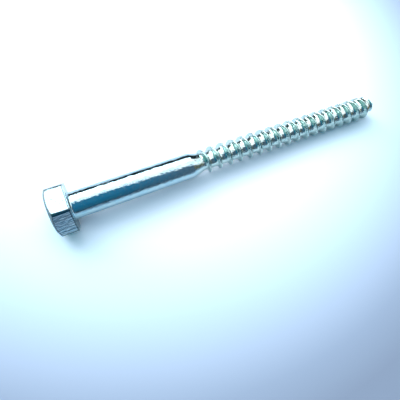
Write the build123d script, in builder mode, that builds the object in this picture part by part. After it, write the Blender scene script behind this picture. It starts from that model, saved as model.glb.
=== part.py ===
"""Lag screw, M10 x 140: hexagon head, plain shank, coarse wood-screw thread and gimlet point.

The screw is headed, turned and rolled from one piece of steel, so it is one solid.
It is modelled upright, with the bearing face of the head at zero and the tip at +Z,
and is then laid down as it rests on a bench: one flat of the head and one crest of
the thread touch the surface, so the axis dips a little towards the tip.
"""

from build123d import *
from math import atan2, ceil, cos, pi, radians, sin, sqrt, tan
import os

# Driving dimensions, in millimetres and degrees
across_flats = 17.0  # spanner size
head_height = 7.0
head_top_diameter = 15.3  # flat top inside the chamfer
head_chamfer_angle = 30.0  # half way across the chamfer, which is crowned
head_flare = 0.6  # in the corner between the bearing face and the shank

length = 140.0  # from the bearing face to the tip
shank_diameter = 10.0
shank_length = 46.0
neck_length = 5.2  # taper from the shank down to the core
core_diameter = 7.0
point_angle = 60.0  # included angle of the point

thread_diameter = 10.0
pitch = 4.65
crest_width = 0.5
flank_angle = 25.0  # of the upper half of each flank to the plane across the axis
root_angle = 35.0  # of the lower half, which flares out into the core
thread_lead = 2.4  # from the end of the shank to where the ridge begins, inside the neck
run_in = 3.0  # length over which it rises to its full height
crest_lead = 5.85  # from the end of the shank to the first crest on the upper side
bare_tip = 1.0  # length of the point beyond the ridge
run_out = 10.0  # length over which the ridge dies away towards the tip
end_dip = 0.3  # depth of the crest under the surface at both ends of the ridge
foot_depth = 0.2  # depth of the foot of the ridge inside the core
foot_reach = 0.8  # how far ahead of the crest the foot looks for the taper of the point
points_per_turn = 16  # that each edge of the ridge is drawn through

# Worked out from them
flat_radius = across_flats / 2
corner_radius = across_flats / sqrt(3)
head_top_radius = head_top_diameter / 2
crown_radius = (head_top_radius + corner_radius) / 2 / sin(radians(head_chamfer_angle))
crown_drop = sqrt(crown_radius**2 - head_top_radius**2) - sqrt(crown_radius**2 - corner_radius**2)
shank_radius = shank_diameter / 2
core_radius = core_diameter / 2
thread_height = (thread_diameter - core_diameter) / 2
point_slope = tan(radians(point_angle / 2))
flank_slope = tan(radians(flank_angle))
root_slope = tan(radians(root_angle))
neck_end = shank_length + neck_length
point_start = length - core_radius / point_slope
thread_start = shank_length + thread_lead
thread_end = length - bare_tip
first_crest = shank_length + crest_lead


def core_at(z):
    """Radius of the core under the thread, which the point tapers to nothing."""
    return min(core_radius, (length - z) * point_slope)


def crest_at(z):
    """Radius of the crest, which rises at the neck and dies away in a quarter ellipse."""
    rise = min(1.0, (z - thread_start) / run_in)
    gone = max(0.0, (z - thread_end) / run_out + 1)
    share = rise * sqrt(max(0.0, 1 - gone**2))
    return core_at(z) + share * (thread_height + end_dip) - end_dip


def ridge_edge(side, level):
    """A long edge of the ridge: its foot, its crest or the knee half way up its flank.

    side is -1 for the flank towards the head and +1 for the one towards the tip. All the
    edges share their parameters, so the flanks between them run square to the axis.
    """
    steps = ceil((thread_end - thread_start) / pitch * points_per_turn)
    places = [step / steps for step in range(steps + 1)]
    points = []
    for place in places:
        middle = thread_start + (thread_end - thread_start) * place
        turn = 2 * pi * (middle - first_crest) / pitch
        radius, spread = crest_at(middle), crest_width / 2
        if level != "crest":
            knee = (radius + core_at(middle)) / 2
            radius, spread = knee, spread + (radius - knee) * flank_slope
        if level == "foot":
            foot = max(core_at(middle + foot_reach) - foot_depth, foot_depth / 8)
            radius, spread = foot, spread + (radius - foot) * root_slope
        points.append((radius * cos(turn), radius * sin(turn), middle + side * spread))
    return Edge.make_spline(points, parameters=places)


os.makedirs("parts", exist_ok=True)

# The ridge of the thread, a solid of its own until it is joined to the core: two flanks
# that flare at the root, a narrow crest and a foot sunk in the core, closed at each end
ring = [ridge_edge(-1, level) for level in ("foot", "knee", "crest")]
ring += [ridge_edge(1, level) for level in ("crest", "knee", "foot")]
ridge_sides = [Face.make_surface_from_curves(ring[i - 1], ring[i]) for i in range(6)]
ridge_ends = [Face(Wire.make_polygon([edge @ end for edge in ring])) for end in (0, 1)]
ridge = Solid(Shell(ridge_sides + ridge_ends))

# Shank, neck and threaded core, cut off where the point starts, with the head on top
with BuildPart() as body:
    with BuildSketch(Plane.XZ):
        with BuildLine():
            Polyline(
                (0, 0),
                (shank_radius, 0),
                (shank_radius, shank_length),
                (core_radius, neck_end),
                (core_radius, length),
                (0, length),
                close=True,
            )
        make_face()
    revolve(axis=Axis.Z)
    add(ridge)
    split(bisect_by=Plane.XY.offset(point_start), keep=Keep.BOTTOM)

    # One flat of the hexagon faces along -X, which is the underside once the screw lies
    with BuildSketch(Plane.XY):
        RegularPolygon(flat_radius, 6, major_radius=False, rotation=30)
    extrude(amount=-head_height)
    under_head = edges().filter_by(GeomType.CIRCLE).filter_by_position(Axis.Z, 0, 0)
    chamfer(under_head, head_flare)

    # The chamfer takes the corners off the end of the head
    with BuildSketch(Plane.XZ):
        with BuildLine():
            crown_start = (head_top_radius, -head_height)
            crown_end = (corner_radius, crown_drop - head_height)
            RadiusArc(crown_start, crown_end, -crown_radius)
            Polyline(crown_end, (corner_radius, -head_height), crown_start)
        make_face()
    revolve(axis=Axis.Z, mode=Mode.SUBTRACT)

# The point: its cone starts lower, inside the ridge, so that the two meet cleanly
with BuildPart() as point:
    with BuildSketch(Plane.XZ):
        with BuildLine():
            cone_start = point_start - thread_height
            Polyline(
                (0, cone_start),
                ((length - cone_start) * point_slope, cone_start),
                (0, length),
                close=True,
            )
        make_face()
    revolve(axis=Axis.Z)
    add(ridge)
    split(bisect_by=Plane.XY.offset(point_start), keep=Keep.TOP)

# Laid on the bench: the edge of the lower flat and the first crest to meet the bench
# carry it, and the middle of its footprint is the origin
turns = int((thread_end - first_crest) / pitch)
lower_crests = [first_crest + (turn + 0.5) * pitch for turn in range(turns)]
dip = min(atan2(flat_radius - crest_at(z), z) for z in lower_crests)
back_end = head_height * cos(dip) + head_top_radius * sin(dip)
bench = Plane(
    origin=((back_end - length * cos(dip)) / 2, 0, flat_radius * cos(dip)),
    x_dir=(sin(dip), 0, cos(dip)),
    z_dir=(cos(dip), 0, -sin(dip)),
)

with BuildPart() as lag_screw:
    with Locations(bench.location):
        add(body.part.fuse(point.part))

lag_screw.part.label = "lag_screw"
export_step(lag_screw.part, "parts/lag_screw.step")
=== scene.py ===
"""The look of the lag screw: a finely modelled zinc-plated screw lying on a pale bench."""

from math import atan2, ceil, cos, pi, radians, sin, sqrt, tan

import bpy
from mathutils import Matrix, Vector


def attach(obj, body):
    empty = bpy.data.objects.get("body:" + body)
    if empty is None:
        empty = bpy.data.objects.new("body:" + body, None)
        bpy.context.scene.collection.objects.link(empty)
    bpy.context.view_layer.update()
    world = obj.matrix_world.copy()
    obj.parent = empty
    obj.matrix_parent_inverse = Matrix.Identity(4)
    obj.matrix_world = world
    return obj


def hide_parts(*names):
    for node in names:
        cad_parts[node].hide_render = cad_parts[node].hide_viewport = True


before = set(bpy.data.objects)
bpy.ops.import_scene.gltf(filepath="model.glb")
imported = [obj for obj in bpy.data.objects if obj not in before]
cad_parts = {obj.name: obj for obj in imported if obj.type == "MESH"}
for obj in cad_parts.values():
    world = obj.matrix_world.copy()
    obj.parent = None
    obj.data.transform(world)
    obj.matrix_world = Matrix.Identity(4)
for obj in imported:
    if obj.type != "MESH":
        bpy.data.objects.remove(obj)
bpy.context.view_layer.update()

# ---------------------------------------------------------------- sizes, in metres
mm = 0.001
across_flats = 17.0 * mm
head_height = 7.0 * mm
head_top_radius = 7.65 * mm  # of the flat end inside the chamfer
chamfer_angle = radians(30)  # half way across the chamfer, which is crowned
head_fillet = 0.6 * mm  # between the bearing face and the shank
length = 140.0 * mm  # from the bearing face to the tip
shank_radius = 5.0 * mm
shank_length = 46.0 * mm
neck_length = 5.2 * mm
core_radius = 3.5 * mm
point_slope = tan(radians(30))
tip_radius = 0.22 * mm

pitch = 4.65 * mm
ridge_height = 1.5 * mm
thread_start = shank_length + 2.4 * mm
thread_end = length - 1.0 * mm
run_in = 3.0 * mm
run_out = 10.0 * mm
first_crest = shank_length + 5.85 * mm  # on the upper side
seam = shank_length + 2.1 * mm  # where the plain neck meets the threaded length
tip_cut = length - 0.01 * mm  # where the threaded length is closed to a tip
around = 72  # steps in one turn

flat_radius = across_flats / 2
corner_radius = across_flats / sqrt(3)
crown_radius = (head_top_radius + corner_radius) / 2 / sin(chamfer_angle)
crown_level = sqrt(crown_radius**2 - head_top_radius**2) - head_height  # of the ball's middle

# The screw rests on a flat of its head and on the last full crest of its underside
full_turns = int((thread_end - run_out - first_crest) / pitch - 0.5)
resting_crest = first_crest + (full_turns + 0.5) * pitch
dip = atan2(flat_radius - core_radius - ridge_height, resting_crest)


# ---------------------------------------------------------------- tools of the bench
def deselect():
    """Leaves object mode with nothing selected."""
    if bpy.context.object and bpy.context.object.mode != "OBJECT":
        bpy.ops.object.mode_set(mode="OBJECT")
    bpy.ops.object.select_all(action="DESELECT")


def take(piece):
    """Makes one piece the only selected and active one."""
    deselect()
    piece.select_set(True)
    bpy.context.view_layer.objects.active = piece


def edit(piece):
    """Opens one piece in edit mode with nothing in it selected."""
    take(piece)
    bpy.ops.object.mode_set(mode="EDIT")
    bpy.ops.mesh.select_all(action="DESELECT")


def draw(name, points):
    """Draws a line of edges through (radius, height) points, beside the axis."""
    deselect()
    radius, height = points[0]
    bpy.ops.mesh.primitive_plane_add(size=mm, location=(radius, 0, height))
    piece = bpy.context.object
    piece.name = piece.data.name = name
    bpy.ops.object.transform_apply(location=True, rotation=True, scale=True)
    bpy.ops.object.mode_set(mode="EDIT")
    bpy.ops.mesh.select_all(action="SELECT")
    bpy.ops.mesh.merge(type="CENTER")
    for (r0, z0), (r1, z1) in zip(points, points[1:]):
        move = {"value": (r1 - r0, 0, z1 - z0)}
        bpy.ops.mesh.extrude_region_move(TRANSFORM_OT_translate=move)
    return piece


def turn(piece, steps):
    """Spins the whole drawn line once about the axis and closes the seam."""
    bpy.ops.mesh.select_all(action="SELECT")
    bpy.ops.mesh.spin(steps=steps, angle=2 * pi, center=(0, 0, 0), axis=(0, 0, 1))
    bpy.ops.mesh.select_all(action="SELECT")
    bpy.ops.mesh.remove_doubles(threshold=mm / 1000)
    bpy.ops.mesh.normals_make_consistent(inside=False)
    bpy.ops.object.mode_set(mode="OBJECT")
    return piece


def combine(piece, other, operation):
    """Joins or cuts a piece with another by a boolean, which uses the other up."""
    take(piece)
    cut = piece.modifiers.new("cut", "BOOLEAN")
    cut.operation, cut.object, cut.solver = operation, other, "EXACT"
    bpy.ops.object.modifier_apply(modifier="cut")
    bpy.data.objects.remove(other)
    return piece


# ---------------------------------------------------------------- the threaded length
def body_at(z):
    """Radius of the plain body: shank, neck, core and the point, which ends in a small ball."""
    if z < shank_length + neck_length:
        part = max(0.0, (z - shank_length) / neck_length)
        return shank_radius + (core_radius - shank_radius) * part
    if z > length - tip_radius / 2:
        return sqrt(max(0.0, tip_radius**2 - (z - length + tip_radius) ** 2))
    return min(core_radius, (length + tip_radius - z) * point_slope)


def ridge_share(z):
    """How much of its full height the ridge has: it runs in at the neck and out at the tip."""
    rise = min(1.0, max(0.0, (z - thread_start) / run_in))
    gone = min(1.0, max(0.0, (z - thread_end) / run_out + 1))
    return max(0.0, rise * sqrt(1 - gone**2) * 1.2 - 0.2)


def coil_thread():
    """The core with its rounded ridge, coiled at full height and cut to length."""
    # Half a pitch: the distance from the crest in mm, and the share of the ridge's height
    half = [
        (0.00, 1.000),
        (0.14, 0.990),
        (0.26, 0.940),
        (0.36, 0.850),
        (0.46, 0.710),
        (0.60, 0.490),
        (0.76, 0.305),
        (0.94, 0.165),
        (1.16, 0.068),
        (1.44, 0.016),
        (1.76, 0.000),
        (pitch / mm / 2, 0.000),
    ]
    section = [(-along, share) for along, share in reversed(half)] + half[1:]
    below = first_crest - 2 * pitch
    line = [(core_radius + share * ridge_height, below + along * mm) for along, share in section]
    piece = draw("thread", line)
    bpy.ops.object.mode_set(mode="OBJECT")
    coil = piece.modifiers.new("coil", "SCREW")
    coil.axis, coil.angle, coil.screw_offset = "Z", 2 * pi, pitch
    coil.iterations = ceil((length - below) / pitch) + 1
    coil.steps = coil.render_steps = around
    coil.use_merge_vertices = True
    coil.merge_threshold = mm / 1000
    bpy.ops.object.modifier_apply(modifier="coil")

    edit(piece)
    bpy.ops.mesh.select_all(action="SELECT")
    bpy.ops.mesh.remove_doubles(threshold=mm / 1000)
    for height, keep_above in ((seam, True), (tip_cut, False)):
        bpy.ops.mesh.select_all(action="SELECT")
        bpy.ops.mesh.bisect(
            plane_co=(0, 0, height),
            plane_no=(0, 0, 1),
            clear_inner=keep_above,
            clear_outer=not keep_above,
            threshold=mm / 10000,
        )
    bpy.ops.object.mode_set(mode="OBJECT")
    return piece


def taper_thread(piece):
    """Fits the coil to the neck and the point, and lets its ridge die away at both ends."""
    for vertex in piece.data.vertices:
        x, y, z = vertex.co
        radius = sqrt(x * x + y * y)
        body = body_at(z)
        ridge = min(body, core_radius) + (radius - core_radius) * ridge_share(z)
        scale = max(body, ridge) / radius
        vertex.co = (x * scale, y * scale, z)
    edit(piece)
    bpy.ops.mesh.select_all(action="SELECT")
    bpy.ops.mesh.normals_make_consistent(inside=False)
    bpy.ops.mesh.select_all(action="DESELECT")
    bpy.ops.object.mode_set(mode="OBJECT")


def close_tip(piece):
    """Draws the last ring of the point together into one vertex."""
    for vertex in piece.data.vertices:
        vertex.select = vertex.co.z > tip_cut - 0.0005 * mm
    bpy.ops.object.mode_set(mode="EDIT")
    bpy.ops.mesh.merge(type="CENTER")
    bpy.ops.object.mode_set(mode="OBJECT")


# ---------------------------------------------------------------- shank and neck
def round_shank():
    """The plain shank, from inside the head through the root fillet to the seam in the neck."""
    inside, rooted = shank_radius + head_fillet, 2 * mm
    line = [(0, -rooted), (inside, -rooted), (inside, 0)]
    for step in range(1, 7):
        angle = pi / 2 * step / 6
        line.append((inside - head_fillet * sin(angle), head_fillet * (1 - cos(angle))))
    line += [(shank_radius, 12 * mm), (shank_radius, 24 * mm), (shank_radius, 36 * mm)]

    # The corner between shank and neck is a little rounded
    before, after, last = shank_length - 0.12 * mm, shank_length + 0.12 * mm, seam - 0.3 * mm
    line += [(shank_radius, before), (shank_radius - 0.01 * mm, shank_length)]
    line += [(body_at(after), after), (body_at(last), last)]
    return turn(draw("shank", line), around)


# ---------------------------------------------------------------- hexagon head
def forge_head():
    """A hexagon with a crowned chamfer at its end and slightly worn edges."""
    blank_radius = corner_radius + 0.4 * mm
    rim = [(0, -head_height)]
    for step in range(9):
        radius = head_top_radius + (blank_radius - head_top_radius) * step / 8
        rim.append((radius, crown_level - sqrt(crown_radius**2 - radius**2)))
    rim += [(blank_radius, mm), (0, mm)]
    blank = turn(draw("crowned_blank", rim), 144)

    deselect()
    bpy.ops.mesh.primitive_circle_add(
        vertices=6, radius=corner_radius, fill_type="NGON", location=(0, 0, -head_height)
    )
    head = bpy.context.object
    head.name = head.data.name = "head"
    bpy.ops.object.transform_apply(location=True, rotation=True, scale=True)
    edit(head)
    bpy.ops.mesh.select_all(action="SELECT")
    bpy.ops.mesh.bevel(offset=0.7 * mm, segments=4, affect="VERTICES")
    bpy.ops.mesh.select_all(action="SELECT")
    bpy.ops.mesh.extrude_region_move(TRANSFORM_OT_translate={"value": (0, 0, head_height)})
    bpy.ops.mesh.select_all(action="SELECT")
    bpy.ops.mesh.normals_make_consistent(inside=False)
    bpy.ops.object.mode_set(mode="OBJECT")
    combine(head, blank, "INTERSECT")
    take(head)
    edge_work = head.modifiers.new("head_edges", "BEVEL")
    edge_work.width, edge_work.segments = 0.28 * mm, 3
    edge_work.limit_method, edge_work.angle_limit = "ANGLE", radians(18)
    bpy.ops.object.modifier_apply(modifier="head_edges")
    return head


# The shank is bridged to the threaded length at the seam, then both grow out of the head
screw = coil_thread()
taper_thread(screw)
close_tip(screw)
shank = round_shank()
head = forge_head()
take(screw)
shank.select_set(True)
bpy.ops.object.join()
edit(screw)
bpy.ops.mesh.select_mode(type="EDGE")
bpy.ops.mesh.select_non_manifold(
    extend=False,
    use_wire=False,
    use_boundary=True,
    use_multi_face=False,
    use_non_contiguous=False,
    use_verts=False,
)
bpy.ops.mesh.bridge_edge_loops()
bpy.ops.mesh.select_all(action="SELECT")
bpy.ops.mesh.normals_make_consistent(inside=False)
bpy.ops.object.mode_set(mode="OBJECT")
combine(screw, head, "UNION")
screw.name = screw.data.name = "screw"

# It is laid down along the bench, with the middle of its footprint at the origin
back_end = head_height * cos(dip) + head_top_radius * sin(dip)
laid = Matrix(
    (
        (sin(dip), 0, cos(dip), (back_end - length * cos(dip)) / 2),
        (0, -1, 0, 0),
        (cos(dip), 0, -sin(dip), flat_radius * cos(dip)),
        (0, 0, 0, 1),
    )
)
crown_middle = laid @ Vector((0, 0, crown_level))
head_middle = laid @ Vector((0, 0, -head_height / 2))
take(screw)
screw.matrix_world = laid
bpy.ops.object.transform_apply(location=True, rotation=True, scale=True)
bpy.ops.object.shade_smooth_by_angle(angle=radians(32))


# ---------------------------------------------------------------- node helpers
def feed(tree, value, socket):
    """Links an output to a socket, or sets a plain number or colour on it."""
    if isinstance(value, bpy.types.NodeSocket):
        tree.links.new(value, socket)
    else:
        socket.default_value = value


def calc(tree, operation, first, second=0.0):
    """A sum on two values."""
    made = tree.nodes.new("ShaderNodeMath")
    made.operation = operation
    feed(tree, first, made.inputs[0])
    feed(tree, second, made.inputs[1])
    return made.outputs["Value"]


def measure(tree, operation, point, vector):
    """The distance of a point from a place, or its reach along a direction."""
    made = tree.nodes.new("ShaderNodeVectorMath")
    made.operation = operation
    feed(tree, point, made.inputs[0])
    feed(tree, vector, made.inputs[1])
    return made.outputs["Value"]


def rise(tree, value, low, high, least=0.0):
    """Climbs from its least share to one, while the value climbs from low to high."""
    made = tree.nodes.new("ShaderNodeMapRange")
    feed(tree, value, made.inputs["Value"])
    made.inputs["From Min"].default_value = low
    made.inputs["From Max"].default_value = high
    made.inputs["To Min"].default_value = least
    return made.outputs["Result"]


def mix(tree, share, first, second):
    """Two colours, mixed by the share of the second."""
    made = tree.nodes.new("ShaderNodeMix")
    made.data_type = "RGBA"
    feed(tree, share, made.inputs["Factor"])
    feed(tree, first, made.inputs[6])
    feed(tree, second, made.inputs[7])
    return made.outputs[2]


def ramp(tree, value, stops):
    """A colour that runs through (position, colour) stops."""
    made = tree.nodes.new("ShaderNodeValToRGB")
    while len(made.color_ramp.elements) < len(stops):
        made.color_ramp.elements.new(0.5)
    for element, (position, colour) in zip(made.color_ramp.elements, stops):
        element.position, element.color = position, (*colour, 1)
    feed(tree, value, made.inputs["Fac"])
    return made.outputs["Color"]


def noise(tree, place, scale, detail):
    """A cloudy value with its own grain along each axis."""
    spread = tree.nodes.new("ShaderNodeMapping")
    spread.inputs["Scale"].default_value = scale
    feed(tree, place, spread.inputs["Vector"])
    cloud = tree.nodes.new("ShaderNodeTexNoise")
    cloud.inputs["Scale"].default_value = 1.0
    cloud.inputs["Detail"].default_value = detail
    feed(tree, spread.outputs["Vector"], cloud.inputs["Vector"])
    return cloud.outputs["Fac"]


def bump(tree, height, depth, strength, under=None):
    """Relief from a height, on top of the relief that is there already."""
    made = tree.nodes.new("ShaderNodeBump")
    made.inputs["Distance"].default_value = depth
    feed(tree, height, made.inputs["Height"])
    feed(tree, strength, made.inputs["Strength"])
    if under:
        feed(tree, under, made.inputs["Normal"])
    return made.outputs["Normal"]


def material(name):
    """A new node material, with its node tree, principled shader and object coordinates."""
    made = bpy.data.materials.new(name)
    made.use_nodes = True
    tree = made.node_tree
    place = tree.nodes.new("ShaderNodeTexCoord").outputs["Object"]
    return made, tree, tree.nodes["Principled BSDF"], place


# ---------------------------------------------------------------- zinc plate
def head_edges(tree, place):
    """Where the head gets painted dark reflections: the crowned chamfer, which lies on a ball,
    and the corners.
    """
    from_ball = measure(tree, "DISTANCE", place, crown_middle)
    crown = rise(tree, from_ball, crown_radius - 0.30 * mm, crown_radius - 0.10 * mm)
    # A corner is nearly as far out towards two flats at once
    reach = []
    for way in (0, radians(60), radians(-60)):
        outward = Vector((0, sin(way), cos(way)))
        out = measure(tree, "DOT_PRODUCT", place, outward)
        reach.append(calc(tree, "ABSOLUTE", calc(tree, "SUBTRACT", out, head_middle @ outward)))
    most = calc(tree, "MAXIMUM", calc(tree, "MAXIMUM", reach[0], reach[1]), reach[2])
    least = calc(tree, "MINIMUM", calc(tree, "MINIMUM", reach[0], reach[1]), reach[2])
    total = calc(tree, "ADD", calc(tree, "ADD", reach[0], reach[1]), reach[2])
    second = calc(tree, "SUBTRACT", calc(tree, "SUBTRACT", total, most), least)
    corner = rise(tree, second, flat_radius - 0.75 * mm, flat_radius - 0.45 * mm)
    return calc(tree, "MAXIMUM", crown, corner)


def zinc_plate():
    """Bright zinc plating with a pale blue passivation, rippled, and grained along the head."""
    made, tree, shader, place = material("zinc_plate")
    shader.inputs["Metallic"].default_value = 1.0
    # The station along the axis, from the bearing face, which is the end of the head
    axis, bearing = laid.col[2].xyz, laid.translation
    station = calc(tree, "SUBTRACT", measure(tree, "DOT_PRODUCT", place, axis), bearing @ axis)
    on_head = calc(tree, "LESS_THAN", station, 0.03 * mm)

    # Patches of thicker passivation, blue on the shank and green on the thread, and painted dark
    # reflections on the head's edges
    patches = noise(tree, place, (420, 700, 700), 4)
    blue = ramp(tree, patches, ((0.35, (0.43, 0.66, 0.77)), (0.65, (0.56, 0.73, 0.79))))
    green = ramp(tree, patches, ((0.35, (0.49, 0.69, 0.70)), (0.65, (0.66, 0.80, 0.78))))
    onto_thread = rise(tree, station, shank_length, shank_length + 6 * mm)
    skin = mix(tree, onto_thread, blue, green)
    # A thin band on the head next to the bearing face is painted dark too, as a painted dark
    # reflection
    rim = calc(
        tree,
        "SUBTRACT",
        rise(tree, station, -0.50 * mm, -0.40 * mm),
        rise(tree, station, -0.15 * mm, -0.05 * mm),
    )
    edge_work = calc(tree, "MAXIMUM", head_edges(tree, place), rim)
    edge_work = calc(tree, "MULTIPLY", edge_work, on_head)
    # Painted dark reflection: the head's chamfer, corners and bearing rim get the dark colour
    # (0.12, 0.19, 0.22)
    feed(tree, mix(tree, edge_work, skin, (0.12, 0.19, 0.22, 1)), shader.inputs["Base Color"])
    haze = noise(tree, place, (600, 600, 600), 3)
    gloss = ramp(tree, haze, ((0.3, (0.09, 0.09, 0.09)), (0.7, (0.17, 0.17, 0.17))))
    feed(tree, gloss, shader.inputs["Roughness"])

    # Ripples, deeper on the rolled thread, and the grain of the forged head
    rolled = rise(tree, station, shank_length - 3 * mm, shank_length + 5 * mm, least=0.45)
    ripples = bump(tree, noise(tree, place, (700, 1000, 1000), 3), 0.22 * mm, rolled)
    grain = bump(tree, noise(tree, place, (300, 1700, 1700), 3), 0.14 * mm, on_head, ripples)
    feed(tree, grain, shader.inputs["Normal"])
    return made


# The faces of the head are its only large ones, and they stay flat
large_face = 20 * mm**2
screw.data.materials.clear()
screw.data.materials.append(zinc_plate())
for face in screw.data.polygons:
    face.material_index = 0
    if face.area > large_face:
        face.use_smooth = False
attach(screw, "root")
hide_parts("lag_screw")


# ---------------------------------------------------------------- bench and light
def pale_bench():
    """A white bench with a painted pool of soft light, which falls off to pale blue."""
    pool_radius = 175 * mm
    made, tree, shader, place = material("pale_bench")
    shader.inputs["Roughness"].default_value = 0.9
    shader.inputs["Specular IOR Level"].default_value = 0.1
    pool = tree.nodes.new("ShaderNodeMapping")
    pool.vector_type = "TEXTURE"
    pool.inputs["Location"].default_value = (-9 * mm, 79 * mm, 0)
    pool.inputs["Scale"].default_value = 3 * (pool_radius,)
    feed(tree, place, pool.inputs["Vector"])
    # These stops paint the pool of light into the bench's colour: painted light, bright round
    # the screw and darker and bluer outwards
    painted_falloff = (
        (0.49, (0.96, 0.90, 0.80)),
        (0.57, (0.87, 0.86, 0.76)),
        (0.63, (0.75, 0.78, 0.69)),
        (0.68, (0.65, 0.70, 0.62)),
        (0.77, (0.49, 0.53, 0.51)),
        (0.85, (0.385, 0.40, 0.40)),
        (0.92, (0.275, 0.29, 0.300)),
        (1.00, (0.21, 0.22, 0.23)),
    )
    painted_pool_colour = ramp(tree, measure(tree, "DISTANCE", pool.outputs["Vector"], (0, 0, 0)), painted_falloff)

    # Seen straight on or in the plating the paper is white, and it lights the screw less
    path = tree.nodes.new("ShaderNodeLightPath").outputs
    mirrored = calc(tree, "MULTIPLY", path["Is Glossy Ray"], 0.6)
    seen = calc(tree, "MAXIMUM", path["Is Camera Ray"], mirrored)
    white = calc(tree, "MULTIPLY", seen, calc(tree, "LESS_THAN", path["Diffuse Depth"], 0.5))
    lift = tree.nodes.new("ShaderNodeVectorMath")
    lift.operation = "MULTIPLY"
    feed(tree, painted_pool_colour, lift.inputs[0])
    feed(tree, mix(tree, white, (0.45, 0.45, 0.45, 1), (1.25, 1.5, 2.0, 1)), lift.inputs[1])
    feed(tree, lift.outputs["Vector"], shader.inputs["Base Color"])
    return made


deselect()
bpy.ops.mesh.primitive_plane_add(size=3.0, location=(0, 0, 0))
bench = bpy.context.object
bench.name = bench.data.name = "bench"
bench.data.materials.append(pale_bench())

# A soft box high up behind the screw
deselect()
bpy.ops.object.light_add(type="AREA", location=(0.10, 0.45, 0.80))
soft_box = bpy.context.object
soft_box.name = "soft_box"
soft_box.data.shape = "RECTANGLE"
soft_box.data.size, soft_box.data.size_y = 0.6, 0.6
soft_box.data.energy = 0.4
aim = Vector((0, 0, 0)) - soft_box.location
soft_box.rotation_euler = aim.to_track_quat("-Z", "Y").to_euler()


# ---------------------------------------------------------------- the room
def light_room():
    """A bright window wall and ceiling behind and to the right, in a dim blue room."""
    world = bpy.data.worlds.new("room")
    bpy.context.scene.world = world
    world.use_nodes = True
    tree = world.node_tree
    sky = tree.nodes["Background"]
    sky.inputs["Strength"].default_value = 6.4
    direction = tree.nodes.new("ShaderNodeTexCoord").outputs["Generated"]

    def towards(x, y, z):
        return measure(tree, "DOT_PRODUCT", direction, (x, y, z))

    # The bright part lies behind the left wall, over the back wall and behind the front beam
    left = rise(tree, towards(0.705, 0.705, 0.02), 0.0, 0.03)
    back = rise(tree, towards(-0.55, -0.5, 1.0), 0.02, 0.08)
    front = rise(tree, towards(0.45, 1.0, 0.19), 0.0, 0.05)
    window = calc(tree, "MULTIPLY", calc(tree, "MULTIPLY", left, back), front)
    glows = (
        (0.20, (0.26, 0.26, 0.27)),
        (0.56, (0.50, 0.51, 0.52)),
        (0.80, (0.97, 0.99, 1.0)),
    )
    glow = ramp(tree, towards(0, 1, 0), glows)

    # The dim part: bluer upwards, grey and brown to the right, green to the left, dark behind
    heights = (
        (0.05, (0.007, 0.011, 0.013)),
        (0.26, (0.004, 0.020, 0.033)),
        (0.47, (0.003, 0.025, 0.042)),
        (0.63, (0.001, 0.027, 0.050)),
        (0.78, (0.004, 0.033, 0.056)),
    )
    rights = (
        (0.30, (0.020, 0.028, 0.037)),
        (0.60, (0.010, 0.016, 0.024)),
        (0.68, (0.012, 0.015, 0.018)),
        (0.74, (0.040, 0.033, 0.019)),
    )
    dim = ramp(tree, towards(0, 0, 1), heights)
    right = rise(tree, towards(1, 0, 0), 0.05, 0.35)
    dim = mix(tree, right, dim, ramp(tree, towards(1, 0, 0), rights))
    west = rise(tree, towards(-1, 0, 0), 0.1, 0.5)
    west = calc(tree, "MULTIPLY", west, rise(tree, towards(0, 1, 0), -0.7, -0.3))
    dim = mix(tree, west, dim, (0.038, 0.084, 0.075, 1))
    dim = mix(tree, rise(tree, towards(0, 1, 0), 0.2, 0.5), dim, (0.003, 0.005, 0.005, 1))
    feed(tree, mix(tree, window, dim, glow), sky.inputs["Color"])


light_room()


# ---------------------------------------------------------------- camera
deselect()
bpy.ops.object.camera_add(
    location=(-51.99 * mm, -50.62 * mm, 119.56 * mm),
    rotation=(radians(21.686), radians(-6.009), radians(-24.350)),
)
camera = bpy.context.object
camera.name = "camera"
camera.data.sensor_width = 36
camera.data.lens = 29.05
camera.data.clip_start = 0.005
bpy.context.scene.camera = camera
bpy.context.scene.view_settings.view_transform = "Standard"
